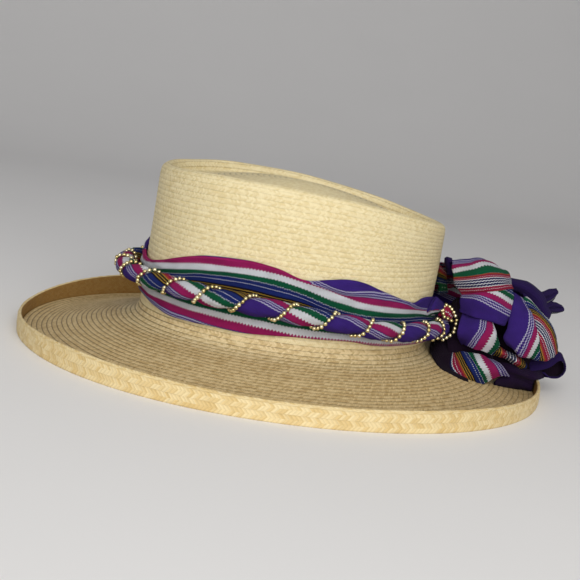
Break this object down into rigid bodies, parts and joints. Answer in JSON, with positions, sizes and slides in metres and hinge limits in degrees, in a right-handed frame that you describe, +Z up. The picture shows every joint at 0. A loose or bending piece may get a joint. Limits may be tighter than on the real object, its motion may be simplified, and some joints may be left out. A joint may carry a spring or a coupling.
{
  "type": "palm leaf hat",
  "caption": "Wide-brimmed plaited palm leaf hat with a flat sunken crown, a turned-up rim, a striped cloth sash, a beaded twisted roll and a cloth rosette.",
  "frame": {"origin": "under the middle of the hat's outer box, on the plane that the flat underside of the rim rests on", "axes": "+X towards the wearer's back, where the rosette sits; -Y towards the wearer's left, the side with the rosette's open face; +Z up through the crown"},
  "size_m": [0.3798, 0.3368, 0.1249],
  "materials": {
    "straw_crown": "satin, plaited in rows 3.5 mm apart",
    "straw_brim": "matt, plaited in rows 3.5 mm apart",
    "straw_rim": "satin, plaited",
    "striped_cloth": "matt woven cotton in stripes of purple, magenta, white, green, navy, black, gold and orange",
    "gold_bead": "lustred gold, glossy"
  },
  "bodies": {
    "root": {"crown": "straw_crown", "brim": "straw_brim", "rim_plait": "straw_rim", "sash": "striped_cloth", "roll": "striped_cloth", "bead_string_right": "gold_bead", "bead_string_left": "gold_bead", "petal_upper_left": "striped_cloth", "petal_upper_right": "striped_cloth", "petal_back_left": "striped_cloth", "petal_back_right": "striped_cloth", "petal_front_left": "striped_cloth", "petal_front_right": "striped_cloth", "petal_lower_left": "striped_cloth", "petal_lower_right": "striped_cloth", "petal_skirt_left": "striped_cloth", "petal_skirt_right": "striped_cloth", "tail_top": "striped_cloth", "tail_middle": "striped_cloth", "tail_low": "striped_cloth", "tail_crown": "striped_cloth", "rosette_heart": "striped_cloth", "rosette_knot": "striped_cloth"}
  },
  "joints": []
}
